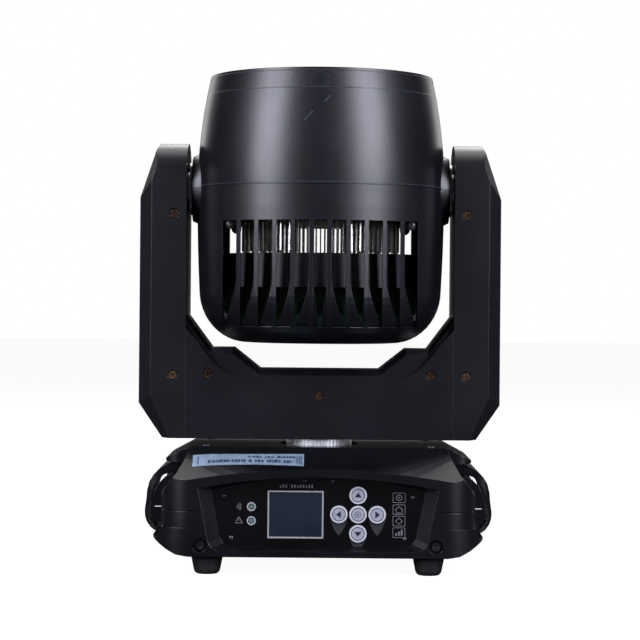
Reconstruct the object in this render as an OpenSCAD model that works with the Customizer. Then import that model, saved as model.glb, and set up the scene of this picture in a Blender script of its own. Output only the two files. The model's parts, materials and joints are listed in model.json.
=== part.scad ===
// Moving head light: a base with a control panel, a yoke that pans on it,
// and a head that tilts in the yoke and carries a zooming lens plate.
// Millimetres. The origin is on the floor below the pan axis. +X is to the
// right seen from the control panel, -Y is the front and +Z is up.

/* [Base] */
// Width of the base body at its corners
base_w = 248; // [240:1:256]
// Depth of the base
base_d = 170; // [166:1:180]
// Height of the rubber feet
foot_h = 15; // [12:0.5:15]
// Wall thickness of the mouldings
wall = 2.6; // [2:0.1:3]

/* [Yoke] */
// Overall width over the two arms
yoke_w = 292; // [290:1:296]
// Depth of the arms and the crossbar
yoke_d = 64; // [60:1:68]

/* [Head] */
// Height of the tilt axis above the floor
tilt_z = 305; // [303:1:312]
// Largest radius of the head
head_r = 101; // [99:0.5:101]
// Height of the front shell above the tilt axis
head_front_h = 91; // [86:1:94]
// Number of vent slots on each side of the rear shell
vent_count = 11; // [7:2:11]

/* [Drives] */
// Teeth of the fixed pan ring
pan_teeth = 56; // [54:1:57]
// Teeth of the tilt pulley on the head's hub
tilt_teeth = 46; // [40:1:46]
// Teeth of both motor pulleys
motor_teeth = 18; // [16:1:20]
// Travel of the lens plate from wide to narrow beam
zoom_travel = 22; // [10:1:22]

/* [Hidden] */
$fn = 64;

// Colours
shell_black = [0.05, 0.055, 0.065];
gloss_black = [0.02, 0.02, 0.025];
rubber_black = [0.04, 0.04, 0.04];
steel = [0.62, 0.63, 0.65];
aluminium = [0.78, 0.78, 0.76];
board_green = [0.05, 0.25, 0.12];

// Base heights
tray_z = foot_h - 0.5;
part_z = 37;
groove_z = 50;
platform_z = 98;
platform_half_d = 50;
edge_z = 83;
edge_r = 600;
base_corner = 25;
top_hole_r = 33;
foot_x = 87;
foot_y = 68;
handle_half_d = 36;
pocket_x = 114;
pocket_half_d = 47;
eye_y = 46;
eye_z = 8.4;

// Control panel
panel_y = -base_d / 2 + 10;
panel_t = 2.5;
pad_x = 31.2;
pad_z = 47.6;
pad_pitch = 15;
pad_r = 6.8;
lcd_x = -17.7;
lcd_z = 47.1;
lcd_w = 43.7;
lcd_h = 37.2;
led_x = -52.3;
led_zs = [53, 42];

// Yoke
arm_in = 108;
arm_out = yoke_w / 2;
arm_half_d = yoke_d / 2;
yoke_z = 103;
arm_top_r = 37;
liner_half_d = 26;
liner_bevel = 5;
plate_z = 120;
belt_z = 108;
belt_h = 6;
belt_t = 1.6;
belt_gap = 0.35;
tooth = 3;
pan_r = pan_teeth * tooth / (2 * PI);
tilt_r = tilt_teeth * tooth / (2 * PI);
motor_r = motor_teeth * tooth / (2 * PI);
pan_motor_x = -62;
tilt_motor_z = 146;
tilt_motor_x = 66;
tilt_belt_x = 124.5;
spindle_r = 14.95;
tilt_shaft_r = 9.95;
bearing_r = 21;
fit = 0.05;

// Head heights, counted from the tilt axis
rear_straight = 82;
head_rear_h = 124.6;
slot_pitch = 14.3;
slot_w = 11;
slot_top = -28;
slot_bottom = -111;
lens_ring_r = 51;
lens_r = 24;
plate_rel = 60;
carriage_r = 78.5;
rod_r = 3;
rod_ring_r = 70;
screw_r = 4;
ring_rel = -17;

// ---------------------------------------------------------------- helpers

// Extrudes a profile drawn in X and Z from y0 to y1
module along_y(y0, y1) {
    translate([0, y1, 0]) rotate([90, 0, 0]) linear_extrude(y1 - y0) children();
}

// Extrudes a profile drawn in Y and Z from x0 to x1
module along_x(x0, x1) {
    translate([x0, 0, 0]) rotate([90, 0, 90]) linear_extrude(x1 - x0) children();
}

// Extrudes a profile drawn in X and Y from z0 to z1
module along_z(z0, z1) {
    translate([0, 0, z0]) linear_extrude(z1 - z0) children();
}

module both_sides() {
    children();
    mirror([1, 0, 0]) children();
}

module front_and_back() {
    children();
    mirror([0, 1, 0]) children();
}

// Box given by its two opposite corners
module block(low, high) {
    translate(low) cube(high - low);
}

// Rounded rectangle centred on the origin
module rounded(w, d, r) {
    square([w - 2 * r, d], center = true);
    square([w, d - 2 * r], center = true);
    for (x = [-1, 1], y = [-1, 1]) translate([x * (w / 2 - r), y * (d / 2 - r)]) circle(r);
}

// Rod along +Y from y0 to y1 at a place in X and Z
module rod_y(x, z, y0, y1, r) {
    translate([x, y0, z]) rotate([-90, 0, 0]) cylinder(h = y1 - y0, r = r);
}

// Rod along +X from x0 to x1 at a place in Y and Z
module rod_x(y, z, x0, x1, r) {
    translate([x0, y, z]) rotate([0, 90, 0]) cylinder(h = x1 - x0, r = r);
}

// Pan head screw, head upwards, with the underside of its head at z = 0
module screw(head_r = 3.6, head_h = 2, shank_r = 1.9, shank_l = 6) {
    difference() {
        union() {
            cylinder(h = head_h, r = head_r);
            translate([0, 0, -shank_l]) cylinder(h = shank_l + 0.1, r = shank_r);
        }
        for (a = [0, 90]) rotate(a) translate([-head_r * 0.6, -0.45, head_h - 1.1]) cube([head_r * 1.2, 0.9, 2]);
    }
}

// Toothed belt pulley with round grooves
module toothed(r, h, bore) {
    linear_extrude(h) difference() {
        circle(r);
        circle(bore);
        count = round(2 * PI * r / tooth);
        for (i = [0 : count - 1]) rotate(i * 360 / count) translate([r, 0]) circle(0.8);
    }
}

// Belt loop round two pulleys, the second one off along X
module belt_loop(r1, r2, distance) {
    module loop(extra) {
        hull() {
            circle(r1 + extra);
            translate([distance, 0]) circle(r2 + extra);
        }
    }
    linear_extrude(belt_h) difference() {
        loop(belt_gap + belt_t);
        loop(belt_gap);
    }
}

// ------------------------------------------------------------ base shells

// Front view of the base body under its arched front edge
module arch_2d(inset) {
    half = base_w / 2 - inset;
    steps = 16;
    polygon(concat(
        [[-half, part_z - 10], [half, part_z - 10]],
        [for (i = [0 : steps]) let (x = half * (1 - 2 * i / steps))
            [x, edge_z - inset - x * x / (2 * edge_r)]]));
}

// Side profile that the base body keeps in front view
module flank_2d(inset) {
    half = base_w / 2 - inset;
    top = platform_z - inset;
    polygon([
        [-half, 0], [half, 0], [half, 62], [half - 6, 70], [half - 13, 79], [half - 18.5, 89], [half - 22, top],
        [22 - half, top], [18.5 - half, 89], [13 - half, 79], [6 - half, 70], [-half, 62]]);
}

// Finger space behind the side handles
module handle_pocket(inset) {
    both_sides() block(
        [pocket_x - inset, -pocket_half_d - inset, part_z + wall - inset],
        [base_w, pocket_half_d + inset, 78 + inset]);
}

// Solid form of the base body above the parting line
module body_form(inset) {
    half_d = base_d / 2 - inset;
    difference() {
        intersection() {
            hull() {
                along_y(-half_d, -half_d + 0.01) arch_2d(inset);
                along_y(half_d - 0.01, half_d) arch_2d(inset);
                block([inset - base_w / 2, -platform_half_d, part_z - 10],
                      [base_w / 2 - inset, platform_half_d, platform_z - inset]);
            }
            along_y(-base_d, base_d) flank_2d(inset);
            along_z(0, 200) rounded(base_w - 2 * inset, base_d - 2 * inset, base_corner - inset);
        }
        handle_pocket(inset);
    }
}

// Outline of the panel recess, grown by a margin
module panel_2d(bottom_x, bottom_z, side_x, side_z, crown) {
    steps = 10;
    round = 6;
    corner = [[bottom_x - round, bottom_z], [bottom_x - 1.6, bottom_z + 1.8], [bottom_x + round * 0.2, bottom_z + round]];
    polygon(concat(
        [for (i = [2 : -1 : 0]) [-corner[i][0], corner[i][1]]],
        corner,
        [for (i = [0 : steps]) let (x = side_x * (1 - 2 * i / steps))
            [x, side_z + crown * (1 - pow(x / side_x, 2))]]));
}

module panel_outer_2d() { panel_2d(84.3, 19.5, 94, 68, 9); }
module panel_inner_2d() { panel_2d(75.2, 22.5, 83.9, 66, 10); }

// Bevelled opening of the recess through the front wall
module panel_opening() {
    hull() {
        along_y(-base_d / 2 - 1, -base_d / 2) panel_outer_2d();
        along_y(panel_y, panel_y + 0.01) panel_inner_2d();
    }
    along_y(panel_y - 0.01, panel_y + 4) panel_inner_2d();
}

// Solid ring that carries the bevel, between two heights
module panel_surround(z0, z1) {
    intersection() {
        along_y(-base_d / 2, panel_y) offset(delta = 4) panel_outer_2d();
        block([-110, -base_d, z0], [110, 0, z1]);
    }
}

module front_screw_spots() {
    for (x = [-92, 92]) translate([x, 0, 23.6]) children();
}

module top_screw_spots() {
    for (x = [-90, 90], y = [-38, 38]) translate([x, y, platform_z]) children();
}

// Solid form of the tray, with a thin lip that stands out below each handle
module tray_form(inset) {
    edge = base_w / 2 - inset;
    lip = inset > 0 ? [] : [[edge + 6.7, 27.3], [edge + 6.7, 28.6], [edge + 2.6, 27.6], [edge + 2.2, 31]];
    side = concat(
        [[101, tray_z + inset], [111, tray_z + 1.4 + inset], [edge - 5, 19.8 + inset * 0.7],
         [edge + 1, 23.6 + inset * 0.6]],
        lip,
        [[edge + 0.5, part_z]]);
    intersection() {
        along_y(-base_d, base_d) polygon(concat(
            side, [for (i = [len(side) - 1 : -1 : 0]) [-side[i][0], side[i][1]]]));
        along_z(0, 200) rounded(base_w + 13.4 - 2 * inset, base_d - 2 * inset, base_corner + 6 - inset);
    }
}

module base_tray() {
    color(shell_black) difference() {
        union() {
            difference() {
                tray_form(0);
                intersection() {
                    tray_form(wall);
                    block([-base_w, -base_d, 0], [base_w, base_d, part_z + 1]);
                }
                along_z(part_z - 1, part_z + 1) rounded(base_w - 8, base_d - 8, base_corner);
            }
            intersection() {
                panel_surround(tray_z, part_z);
                tray_form(0);
            }
            intersection() {
                mirror([0, 1, 0]) panel_surround(tray_z, part_z);
                tray_form(0);
            }
            front_and_back() front_screw_spots() rod_y(0, 0, -base_d / 2 + 1, -base_d / 2 + 12, 6.5);
        }
        front_and_back() panel_opening();
        front_and_back() front_screw_spots() {
            rod_y(0, 0, -base_d / 2 - 1, -base_d / 2 + 5, 5.5);
            rod_y(0, 0, -base_d / 2, -base_d / 2 + 13, 2.1);
        }
        for (x = [-foot_x, foot_x], y = [-foot_y, foot_y]) translate([x, y, 0]) cylinder(h = 40, r = 2.6);
        for (x = [-53, 53], y = [-45, 45]) translate([x, y, 0]) cylinder(h = 40, r = 5);
        translate([0, eye_y, 0]) block([-2.1, -7.1, 0], [2.1, 7.1, 20]);
    }
}

module base_cover() {
    wing = base_w / 2 - 2;
    color(shell_black) difference() {
        union() {
            difference() {
                intersection() {
                    body_form(0);
                    block([-base_w, -base_d, part_z], [base_w, base_d, 200]);
                }
                body_form(wall);
            }
            intersection() {
                union() front_and_back() panel_surround(part_z, 90);
                body_form(0);
            }
            both_sides() intersection() {
                along_y(-48, 48) polygon([
                    [wing - 26, platform_z - 3], [wing - 22, platform_z], [wing - 19, platform_z],
                    [wing, 88], [wing, 86], [wing - 2, 85.4], [wing - 13, 84.6], [wing - 18, 87]]);
                along_z(0, 200) rounded(base_w, 96, 14);
            }
            both_sides() front_and_back() along_y(pocket_half_d, pocket_half_d + 3) polygon([
                [118, part_z + 0.5], [126, part_z + 0.5], [129.5, 38.4], [132.2, 41], [133.4, 44.5],
                [133.2, 52], [132.2, 57], [130.2, 63], [127, 68.5], [122.5, 73.2], [116, 77], [110, 70]]);
        }
        front_and_back() panel_opening();
        along_z(groove_z - 0.4, groove_z + 0.4) difference() {
            square([2 * base_w, 2 * base_d], center = true);
            rounded(base_w - 1.4, base_d - 1.4, base_corner - 0.7);
        }
        cylinder(h = 200, r = top_hole_r);
        top_screw_spots() {
            translate([0, 0, -1.2]) cylinder(h = 5, r = 4.2);
            translate([0, 0, -10]) cylinder(h = 20, r = 2.1);
        }
    }
}

// Curved strap that stands off the finger pocket
module side_handle() {
    color(shell_black) difference() {
        intersection() {
            along_y(-handle_half_d, handle_half_d) polygon([
                [110, 84.3], [117, 84.2], [123, 81.8], [128, 78.6], [132.4, 74], [135.8, 68.5],
                [137.8, 61], [138.4, 54], [139.2, 49], [140, 45], [139.6, 40], [137.6, 35.5],
                [134.5, 31.8], [131.2, 29.4], [125.5, 29.2], [125.5, 32], [130, 32.8], [133.2, 35],
                [135.6, 38.4], [136.8, 42.5], [136.8, 46.5], [135.4, 50.5], [134, 54.5], [133.4, 60],
                [131.5, 65.5], [128, 70.5], [124, 74], [118.5, 76], [110, 77]]);
            along_z(0, 200) rounded(280.4, 2 * handle_half_d, 12);
        }
        body_form(-0.03);
        tray_form(-0.03);
        block([0, -60, 0], [125, 60, part_z + 0.03]);
    }
}

module side_handle_right() { side_handle(); }
module side_handle_left() { mirror([1, 0, 0]) side_handle(); }

module rubber_feet() {
    color(rubber_black) for (x = [-foot_x, foot_x], y = [-foot_y, foot_y]) translate([x, y, 0])
        rotate_extrude() difference() {
            polygon([[0, 0], [8.2, 0], [9.6, 1.2], [10.4, 3], [12.3, foot_h - 2.5], [12.85, tray_z - 0.02],
                     [0, tray_z - 0.02]]);
            translate([0, -1]) square([4.4, 7]);
            square([2.7, 40]);
        }
}

module base_screws() {
    color(steel) {
        for (x = [-foot_x, foot_x], y = [-foot_y, foot_y]) translate([x, y, 6])
            mirror([0, 0, 1]) screw(head_r = 4, head_h = 2.4, shank_r = 2.4, shank_l = 16);
        front_and_back() front_screw_spots() translate([0, -base_d / 2 + 4.98, 0]) rotate([90, 0, 0])
            screw(shank_l = 8);
        top_screw_spots() translate([0, 0, -1.18]) screw(head_h = 1.8, shank_l = 6);
    }
}

module base_chassis() {
    floor_z = tray_z + wall + 0.05;
    color(steel) difference() {
        union() {
            block([-100, -72, floor_z], [100, 72, floor_z + 2]);
            for (x = [-foot_x, foot_x], y = [-foot_y, foot_y]) translate([x, y, floor_z])
                cylinder(h = 6, r = 5);
            both_sides() block([70, -40, floor_z], [72, 40, 86]);
            block([-72, -40, 84], [72, 40, 86]);
        }
        for (x = [-foot_x, foot_x], y = [-foot_y, foot_y]) translate([x, y, 0]) cylinder(h = 40, r = 2.6);
        for (x = [-53, 53], y = [-45, 45]) translate([x, y, 0]) cylinder(h = 40, r = 5);
        translate([0, 0, 70]) cylinder(h = 30, r = 24);
        for (a = [45 : 90 : 315]) rotate(a) translate([29, 0, 70]) cylinder(h = 30, r = 1.7);
        translate([0, eye_y, 0]) block([-2.1, -7.1, 0], [2.1, 7.1, 30]);
    }
}

// Steel tab with an eye, under the rear of the base
module safety_eye() {
    color(steel) difference() {
        union() {
            along_x(-2, 2) hull() {
                translate([eye_y, eye_z]) circle(6.2);
                translate([eye_y - 7, 20]) square([14, 1]);
            }
            block([-9, eye_y - 7, tray_z + wall + 2.1], [9, eye_y + 7, tray_z + wall + 4]);
        }
        rod_x(eye_y, eye_z, -5, 5, 4);
    }
}

// ----------------------------------------------------- panel and its parts

module button_spots() {
    for (p = [[0, 0], [0, 1], [0, -1], [-1, 0], [1, 0]])
        translate([pad_x + p[0] * pad_pitch, 0, pad_z + p[1] * pad_pitch]) children();
}

module control_fascia() {
    color(gloss_black) difference() {
        along_y(panel_y + 0.02, panel_y + panel_t) offset(delta = 2.5) panel_inner_2d();
        button_spots() rod_y(0, 0, panel_y - 1, panel_y + 5, pad_r + 0.35);
        for (z = led_zs) rod_y(led_x, z, panel_y - 1, panel_y + 5, 1.85);
        block([lcd_x - lcd_w / 2 - 0.1, panel_y - 1, lcd_z - lcd_h / 2 - 0.1],
              [lcd_x + lcd_w / 2 + 0.1, panel_y + 5, lcd_z + lcd_h / 2 + 0.1]);
    }
}

module lcd_module() {
    rim = 1.1;
    front = panel_y - 0.5;
    color([0.75, 0.76, 0.78]) difference() {
        block([lcd_x - lcd_w / 2, front, lcd_z - lcd_h / 2], [lcd_x + lcd_w / 2, panel_y + 6, lcd_z + lcd_h / 2]);
        block([lcd_x - lcd_w / 2 + rim, front - 1, lcd_z - lcd_h / 2 + rim],
              [lcd_x + lcd_w / 2 - rim, front + 0.45, lcd_z + lcd_h / 2 - rim]);
    }
}

module status_leds() {
    color([0.7, 0.8, 0.75]) for (z = led_zs) {
        rod_y(led_x, z, panel_y - 0.4, panel_y + 7, 1.75);
        rod_y(led_x, z, panel_y + 3.2, panel_y + 4.2, 2.2);
    }
}

module control_board() {
    board_y = panel_y + 8.6;
    color(board_green) {
        block([-66, board_y, 25.5], [66, board_y + 1.6, 72]);
        button_spots() block([-3, board_y - 1.3, -3], [3, board_y, 3]);
        block([-50, board_y + 1.6, 32], [-20, board_y + 9, 44]);
        block([10, board_y + 1.6, 50], [26, board_y + 4, 66]);
    }
}

// One round key with a square retaining flange behind the fascia
module panel_button(col, row) {
    color([0.82, 0.83, 0.85]) translate([pad_x + col * pad_pitch, 0, pad_z + row * pad_pitch]) {
        rod_y(0, 0, panel_y - 2, panel_y + 4.4, pad_r);
        block([-6.2, panel_y + 2.85, -6.2], [6.2, panel_y + 3.9, 6.2]);
        rod_y(0, 0, panel_y + 4.3, panel_y + 5.7, 2.2);
    }
}

module button_up() { panel_button(0, 1); }
module button_down() { panel_button(0, -1); }
module button_left() { panel_button(-1, 0); }
module button_right() { panel_button(1, 0); }
module button_ok() { panel_button(0, 0); }

rear_y = -panel_y;
inlet_x = 52;
outlet_x = 14;
data_in_x = -22;
data_out_x = -56;
socket_z = 46;

module rear_panel() {
    color(steel) difference() {
        along_y(rear_y - 2, rear_y - 0.02) offset(delta = 2.5) panel_inner_2d();
        for (p = [[inlet_x, 14], [outlet_x, 14], [data_in_x, 12.1], [data_out_x, 12.1]])
            block([p[0] - p[1], rear_y - 5, socket_z - 12.1], [p[0] + p[1], rear_y + 5, socket_z + 12.1]);
        rod_y(33, 67, rear_y - 5, rear_y + 5, 6.1);
    }
}

// Mains connector body: a flanged shroud with three contacts
module mains_socket(x, male) {
    color([0.06, 0.06, 0.06]) translate([x, rear_y, socket_z]) {
        difference() {
            union() {
                block([-16.5, 0.02, -12.5], [16.5, 2.5, 12.5]);
                block([-13.8, -22, -10.3], [13.8, 2.5, 10.3]);
            }
            if (male) block([-12, -16, -8], [12, 5, 8]);
            if (!male) for (i = [-1 : 1]) block([i * 7 - 1.5, -14, -3.2], [i * 7 + 1.5, 5, 3.2]);
            if (!male) difference() {
                block([-12.6, -12, -8.6], [12.6, 5, 8.6]);
                block([-11, -13, -7], [11, 6, 7]);
            }
        }
        if (male) for (i = [-1 : 1]) block([i * 7 - 1, -16.2, -2], [i * 7 + 1, -2, 2]);
    }
}

module mains_inlet() { mains_socket(inlet_x, true); }
module mains_outlet() { mains_socket(outlet_x, false); }

// Round three-pole data connector with a square flange
module data_socket(x, male) {
    color([0.1, 0.1, 0.1]) translate([x, rear_y, socket_z]) {
        difference() {
            union() {
                along_y(0.02, 2.2) rounded(26, 31, 3);
                rod_y(0, 0, -24, 2.2, 11.9);
            }
            if (male) rod_y(0, 0, -14, 5, 9.5);
            if (!male) for (a = [30, 150, 270]) rod_y(4.6 * cos(a), 4.6 * sin(a), -14, 5, 1.5);
            if (!male) difference() {
                rod_y(0, 0, -12, 5, 10);
                rod_y(0, 0, -13, 6, 8.6);
            }
            for (s = [-1, 1]) rod_y(s * 9.5, s * 12, -5, 5, 1.6);
        }
        if (male) for (a = [30, 150, 270]) rod_y(4.6 * cos(a), 4.6 * sin(a), -14.2, -1, 1.2);
    }
}

module dmx_in_socket() { data_socket(data_in_x, true); }
module dmx_out_socket() { data_socket(data_out_x, false); }

module fuse_holder() {
    color([0.05, 0.05, 0.05]) translate([33, rear_y, 67]) difference() {
        union() {
            rod_y(0, 0, -20, 1, 6);
            rod_y(0, 0, 0.02, 3, 7.2);
        }
        block([-5, 2, -0.7], [5, 4, 0.7]);
    }
}

module power_supply() {
    base = tray_z + wall + 2.1;
    color([0.55, 0.56, 0.55]) {
        block([-64, -38, base], [-10, 42, base + 1.6]);
        block([-64, -38, base], [-62.4, 42, base + 32]);
        block([-58, -30, base + 1.6], [-30, -4, base + 26]);
        for (y = [8, 26]) translate([-46, y, base + 1.6]) cylinder(h = 28, r = 8);
        block([-28, 0, base + 1.6], [-14, 34, base + 20]);
    }
}

module driver_board() {
    base = tray_z + wall + 2.1;
    color(board_green) {
        block([10, -38, base], [64, 42, base + 6]);
        block([14, -30, base + 6], [34, -10, base + 9]);
        for (y = [0, 14, 28]) block([16, y, base + 6], [28, y + 10, base + 16]);
        for (y = [-30 : 14 : 26]) block([44, y, base + 6], [58, y + 8, base + 12]);
    }
}

// ------------------------------------------------------------- pan bearing

module pan_ring_pulley() {
    color(aluminium) difference() {
        union() {
            translate([0, 0, 86.05]) cylinder(h = 4, r = 33);
            translate([0, 0, 90]) toothed(pan_r, 26, 10);
        }
        translate([0, 0, 80]) cylinder(h = 40, r = bearing_r - 3);
        translate([0, 0, 105.5]) cylinder(h = 20, r = bearing_r);
        for (a = [45 : 90 : 315]) rotate(a) translate([29, 0, 80]) cylinder(h = 20, r = 1.7);
    }
}

module pan_bearing() {
    color(steel) translate([0, 0, 105.6]) difference() {
        cylinder(h = 9, r = bearing_r - 0.02);
        translate([0, 0, -1]) cylinder(h = 11, r = spindle_r + fit);
        for (z = [-0.1, 8.6]) translate([0, 0, z]) difference() {
            cylinder(h = 0.5, r = 19.4);
            translate([0, 0, -1]) cylinder(h = 3, r = 16.6);
        }
    }
}

// -------------------------------------------------------------------- yoke

// Solid form of the right arm: bevelled outer corners and a round top
module arm_form(inset) {
    in_x = inset > 0 ? arm_in - 6 : arm_in;
    out_x = arm_out - inset;
    low = yoke_z + inset;
    high = tilt_z + arm_top_r - inset;
    intersection() {
        hull() {
            along_y(10 - arm_half_d, arm_half_d - 10) polygon([
                [in_x, low], [arm_out - 19 - inset / 2, low], [out_x, 131 + inset / 2],
                [out_x, tilt_z - 8 - inset / 2], [arm_out - 15 - inset, high], [in_x, high]]);
            along_y(inset - arm_half_d, arm_half_d - inset) polygon([
                [in_x, low], [arm_out - 25 - inset, low], [out_x - 10, 137], [out_x - 10, tilt_z + 6],
                [out_x - 14, tilt_z + 18], [out_x - 21, high], [in_x, high]]);
        }
        along_x(in_x - 1, arm_out + 1) intersection() {
            union() {
                translate([0, tilt_z]) circle(arm_top_r - inset, $fn = 128);
                translate([-100, 0]) square([200, tilt_z]);
            }
            translate([inset - arm_half_d, 0]) square([2 * (arm_half_d - inset), 500]);
        }
    }
}

module arm_screw_spots() {
    for (z = [154, tilt_z - 21]) translate([arm_in + 10, 0, z]) children();
}

module cover_screw_spots() {
    for (p = [[-90, 155], [90, 155], [0, 138]]) translate([p[0], 0, p[1]]) children();
}

// Recess and clearance hole for a screw driven from the front
module screw_recess() {
    rod_y(0, 0, -arm_half_d - 1, -arm_half_d + 2, 4.1);
    rod_y(0, 0, -arm_half_d - 1, -arm_half_d + 10, 2.1);
}

module arm_cover() {
    color(shell_black) difference() {
        arm_form(0);
        arm_form(wall);
        front_and_back() arm_screw_spots() screw_recess();
    }
}

module arm_cover_right() { arm_cover(); }
module arm_cover_left() { mirror([1, 0, 0]) arm_cover(); }

module arm_inner_plates() {
    half = arm_half_d - wall - 0.1;
    color(shell_black) both_sides() difference() {
        along_x(arm_in + 0.05, arm_in + 2.5) intersection() {
            union() {
                translate([0, tilt_z]) circle(arm_top_r - wall - 0.1, $fn = 128);
                translate([-50, 0]) square([100, tilt_z]);
            }
            translate([-half, 186]) square([2 * half, 300]);
        }
        rod_x(0, tilt_z, 100, 120, 16);
    }
}

// Crossbar cover outline: straight shoulders that run into a shallow sag
module cover_2d() {
    half = arm_in - 0.1;
    side = [[half, yoke_z], [half, 191], [98, 180.5], [89.5, 168.8], [83, 161.5], [76, 156.2],
            [68, 152.8], [52, 150.4], [35, 148.8], [17, 148.1]];
    polygon(concat(side, [for (i = [len(side) - 1 : -1 : 0]) [-side[i][0], side[i][1]]]));
}

module crossbar_cover() {
    color(shell_black) difference() {
        union() {
            along_y(-arm_half_d, wall - arm_half_d) cover_2d();
            along_y(wall - arm_half_d - 0.01, -liner_half_d - 0.1) difference() {
                cover_2d();
                offset(delta = -3) cover_2d();
                translate([-200, 0]) square([400, 145]);
            }
        }
        cover_screw_spots() screw_recess();
    }
}

module crossbar_front_cover() { crossbar_cover(); }
module crossbar_rear_cover() { mirror([0, 1, 0]) crossbar_cover(); }

liner_top = [[-arm_in, 203], [-88, 176], [-70, 176], [-48.5, 159], [48.5, 159], [70, 176], [88, 176], [arm_in, 203]];

// Trough between the two crossbar covers, with raised ends over the motors
module crossbar_liner() {
    low = plate_z + 5;
    half = arm_in - 0.1;
    color(shell_black) difference() {
        intersection() {
            for (i = [0 : len(liner_top) - 2]) let (p = liner_top[i], q = liner_top[i + 1]) hull() {
                along_y(liner_bevel - liner_half_d, liner_half_d - liner_bevel)
                    polygon([p, q, [q[0], low], [p[0], low]]);
                along_y(-liner_half_d, liner_half_d)
                    polygon([p - [0, liner_bevel], q - [0, liner_bevel], [q[0], low], [p[0], low]]);
            }
            block([-half, -50, 0], [half, 50, 300]);
        }
        along_y(wall - liner_half_d, liner_half_d - wall)
            polygon(concat([for (p = liner_top) p - [0, liner_bevel + 0.5]], [[arm_in, 0], [-arm_in, 0]]));
    }
}

module crossbar_floor() {
    half_d = arm_half_d - wall - 0.05;
    color(shell_black) difference() {
        along_z(yoke_z, yoke_z + 2.5) rounded(2 * arm_in - 0.3, 2 * half_d, 1);
        cylinder(h = 200, r = 29.5);
    }
}

// Welded steel frame: a cross plate and an upright for each tilt bearing
module yoke_frame() {
    foot = plate_z + 3;
    color(steel) difference() {
        union() {
            block([-116, -25, plate_z], [116, 25, foot]);
            both_sides() difference() {
                union() {
                    block([112, -21, foot - 1], [115, 21, tilt_z]);
                    rod_x(0, tilt_z, 112, 121.6, 25);
                }
                block([100, -11, 190], [130, 11, 262]);
            }
        }
        cylinder(h = 200, r = 10);
        translate([pan_motor_x, 0, 0]) cylinder(h = 200, r = 11.5);
        for (a = [45 : 90 : 315]) rotate(a) translate([20, 0, 0]) cylinder(h = 200, r = 1.7);
        both_sides() {
            rod_x(0, tilt_z, 100, 130, 17);
            rod_x(0, tilt_z, 113, 130, bearing_r);
            rod_x(0, tilt_motor_z, 100, 130, 11.5);
        }
    }
}

module tilt_bearings() {
    color(steel) both_sides() difference() {
        rod_x(0, tilt_z, 113.05, 121.5, bearing_r - 0.06);
        rod_x(0, tilt_z, 100, 130, tilt_shaft_r + fit);
        difference() {
            rod_x(0, tilt_z, 121, 130, 18.6);
            rod_x(0, tilt_z, 120, 131, 13.4);
        }
    }
}

// Hollow spindle that the yoke turns on
module pan_spindle() {
    color(steel) difference() {
        union() {
            translate([0, 0, 80]) cylinder(h = plate_z - 80.02, r = spindle_r);
            translate([0, 0, plate_z - 2.5]) cylinder(h = 2.48, r = 25);
        }
        cylinder(h = 300, r = 10);
        for (a = [45 : 90 : 315]) rotate(a) translate([20, 0, 0]) cylinder(h = 200, r = 1.7);
        translate([0, 0, 81.5]) rotate_extrude() translate([spindle_r - 1, 0]) square([3, 1.3]);
    }
}

module pan_motor() {
    color([0.1, 0.1, 0.1]) translate([pan_motor_x, 0, plate_z + 3.02]) {
        linear_extrude(29) rounded(42, 42, 4);
        translate([0, 0, -2]) cylinder(h = 2.1, r = 11);
        translate([0, 0, -16]) cylinder(h = 17, r = 2.5);
    }
}

module tilt_motor() {
    color([0.1, 0.1, 0.1]) {
        translate([0, 0, tilt_motor_z]) along_x(tilt_motor_x + 6, 111.98) rounded(40, 40, 4);
        rod_x(0, tilt_motor_z, 111.9, 113.9, 11);
        rod_x(0, tilt_motor_z, 111.9, 132, 2.5);
    }
}

module pan_belt() {
    color(rubber_black) translate([0, 0, belt_z]) rotate(180) belt_loop(pan_r, motor_r, -pan_motor_x);
}

module tilt_belt() {
    color(rubber_black) translate([tilt_belt_x, 0, tilt_z]) rotate([0, 90, 0])
        belt_loop(tilt_r, motor_r, tilt_z - tilt_motor_z);
}

module pan_motor_pulley() {
    color(aluminium) translate([pan_motor_x, 0, belt_z - 0.8]) toothed(motor_r, belt_h + 1.6, 2.5 + fit);
}

module tilt_motor_pulley() {
    color(aluminium) translate([tilt_belt_x - 0.8, 0, tilt_motor_z]) rotate([0, 90, 0])
        toothed(motor_r, belt_h + 1.6, 2.5 + fit);
}

module yoke_screws() {
    color(steel) front_and_back() {
        both_sides() arm_screw_spots() translate([0, 1.98 - arm_half_d, 0]) rotate([90, 0, 0])
            screw(head_h = 1.1, shank_l = 5);
        cover_screw_spots() translate([0, 1.98 - arm_half_d, 0]) rotate([90, 0, 0])
            screw(head_h = 1.1, shank_l = 3.8);
    }
}

// -------------------------------------------------------------------- head

// The front shell narrows towards its rim along one large arc
rim_drop = 10.4;
front_arc = (head_front_h * head_front_h + rim_drop * rim_drop) / (2 * rim_drop);
function front_r(h) = head_r - front_arc + sqrt(front_arc * front_arc - h * h);

// The rear shell is almost straight, then turns in along a quarter ellipse
corner_w = 39;
corner_h = head_rear_h - rear_straight;
rear_r = head_r - 2.2;

module rear_2d(inset) {
    steps = 5;
    arc = 12;
    polygon(concat(
        [[0, 0]],
        [for (i = [0 : steps]) let (d = rear_straight * i / steps)
            [head_r - inset - 2.2 * pow(d / rear_straight, 2), -d]],
        [for (i = [1 : arc]) let (a = 90 * i / arc)
            [rear_r - corner_w + (corner_w - inset) * cos(a), -rear_straight - (corner_h - inset) * sin(a)]],
        [[0, inset - head_rear_h]]));
}

module rear_form(inset) {
    translate([0, 0, tilt_z]) rotate_extrude($fn = 128) rear_2d(inset);
}

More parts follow.
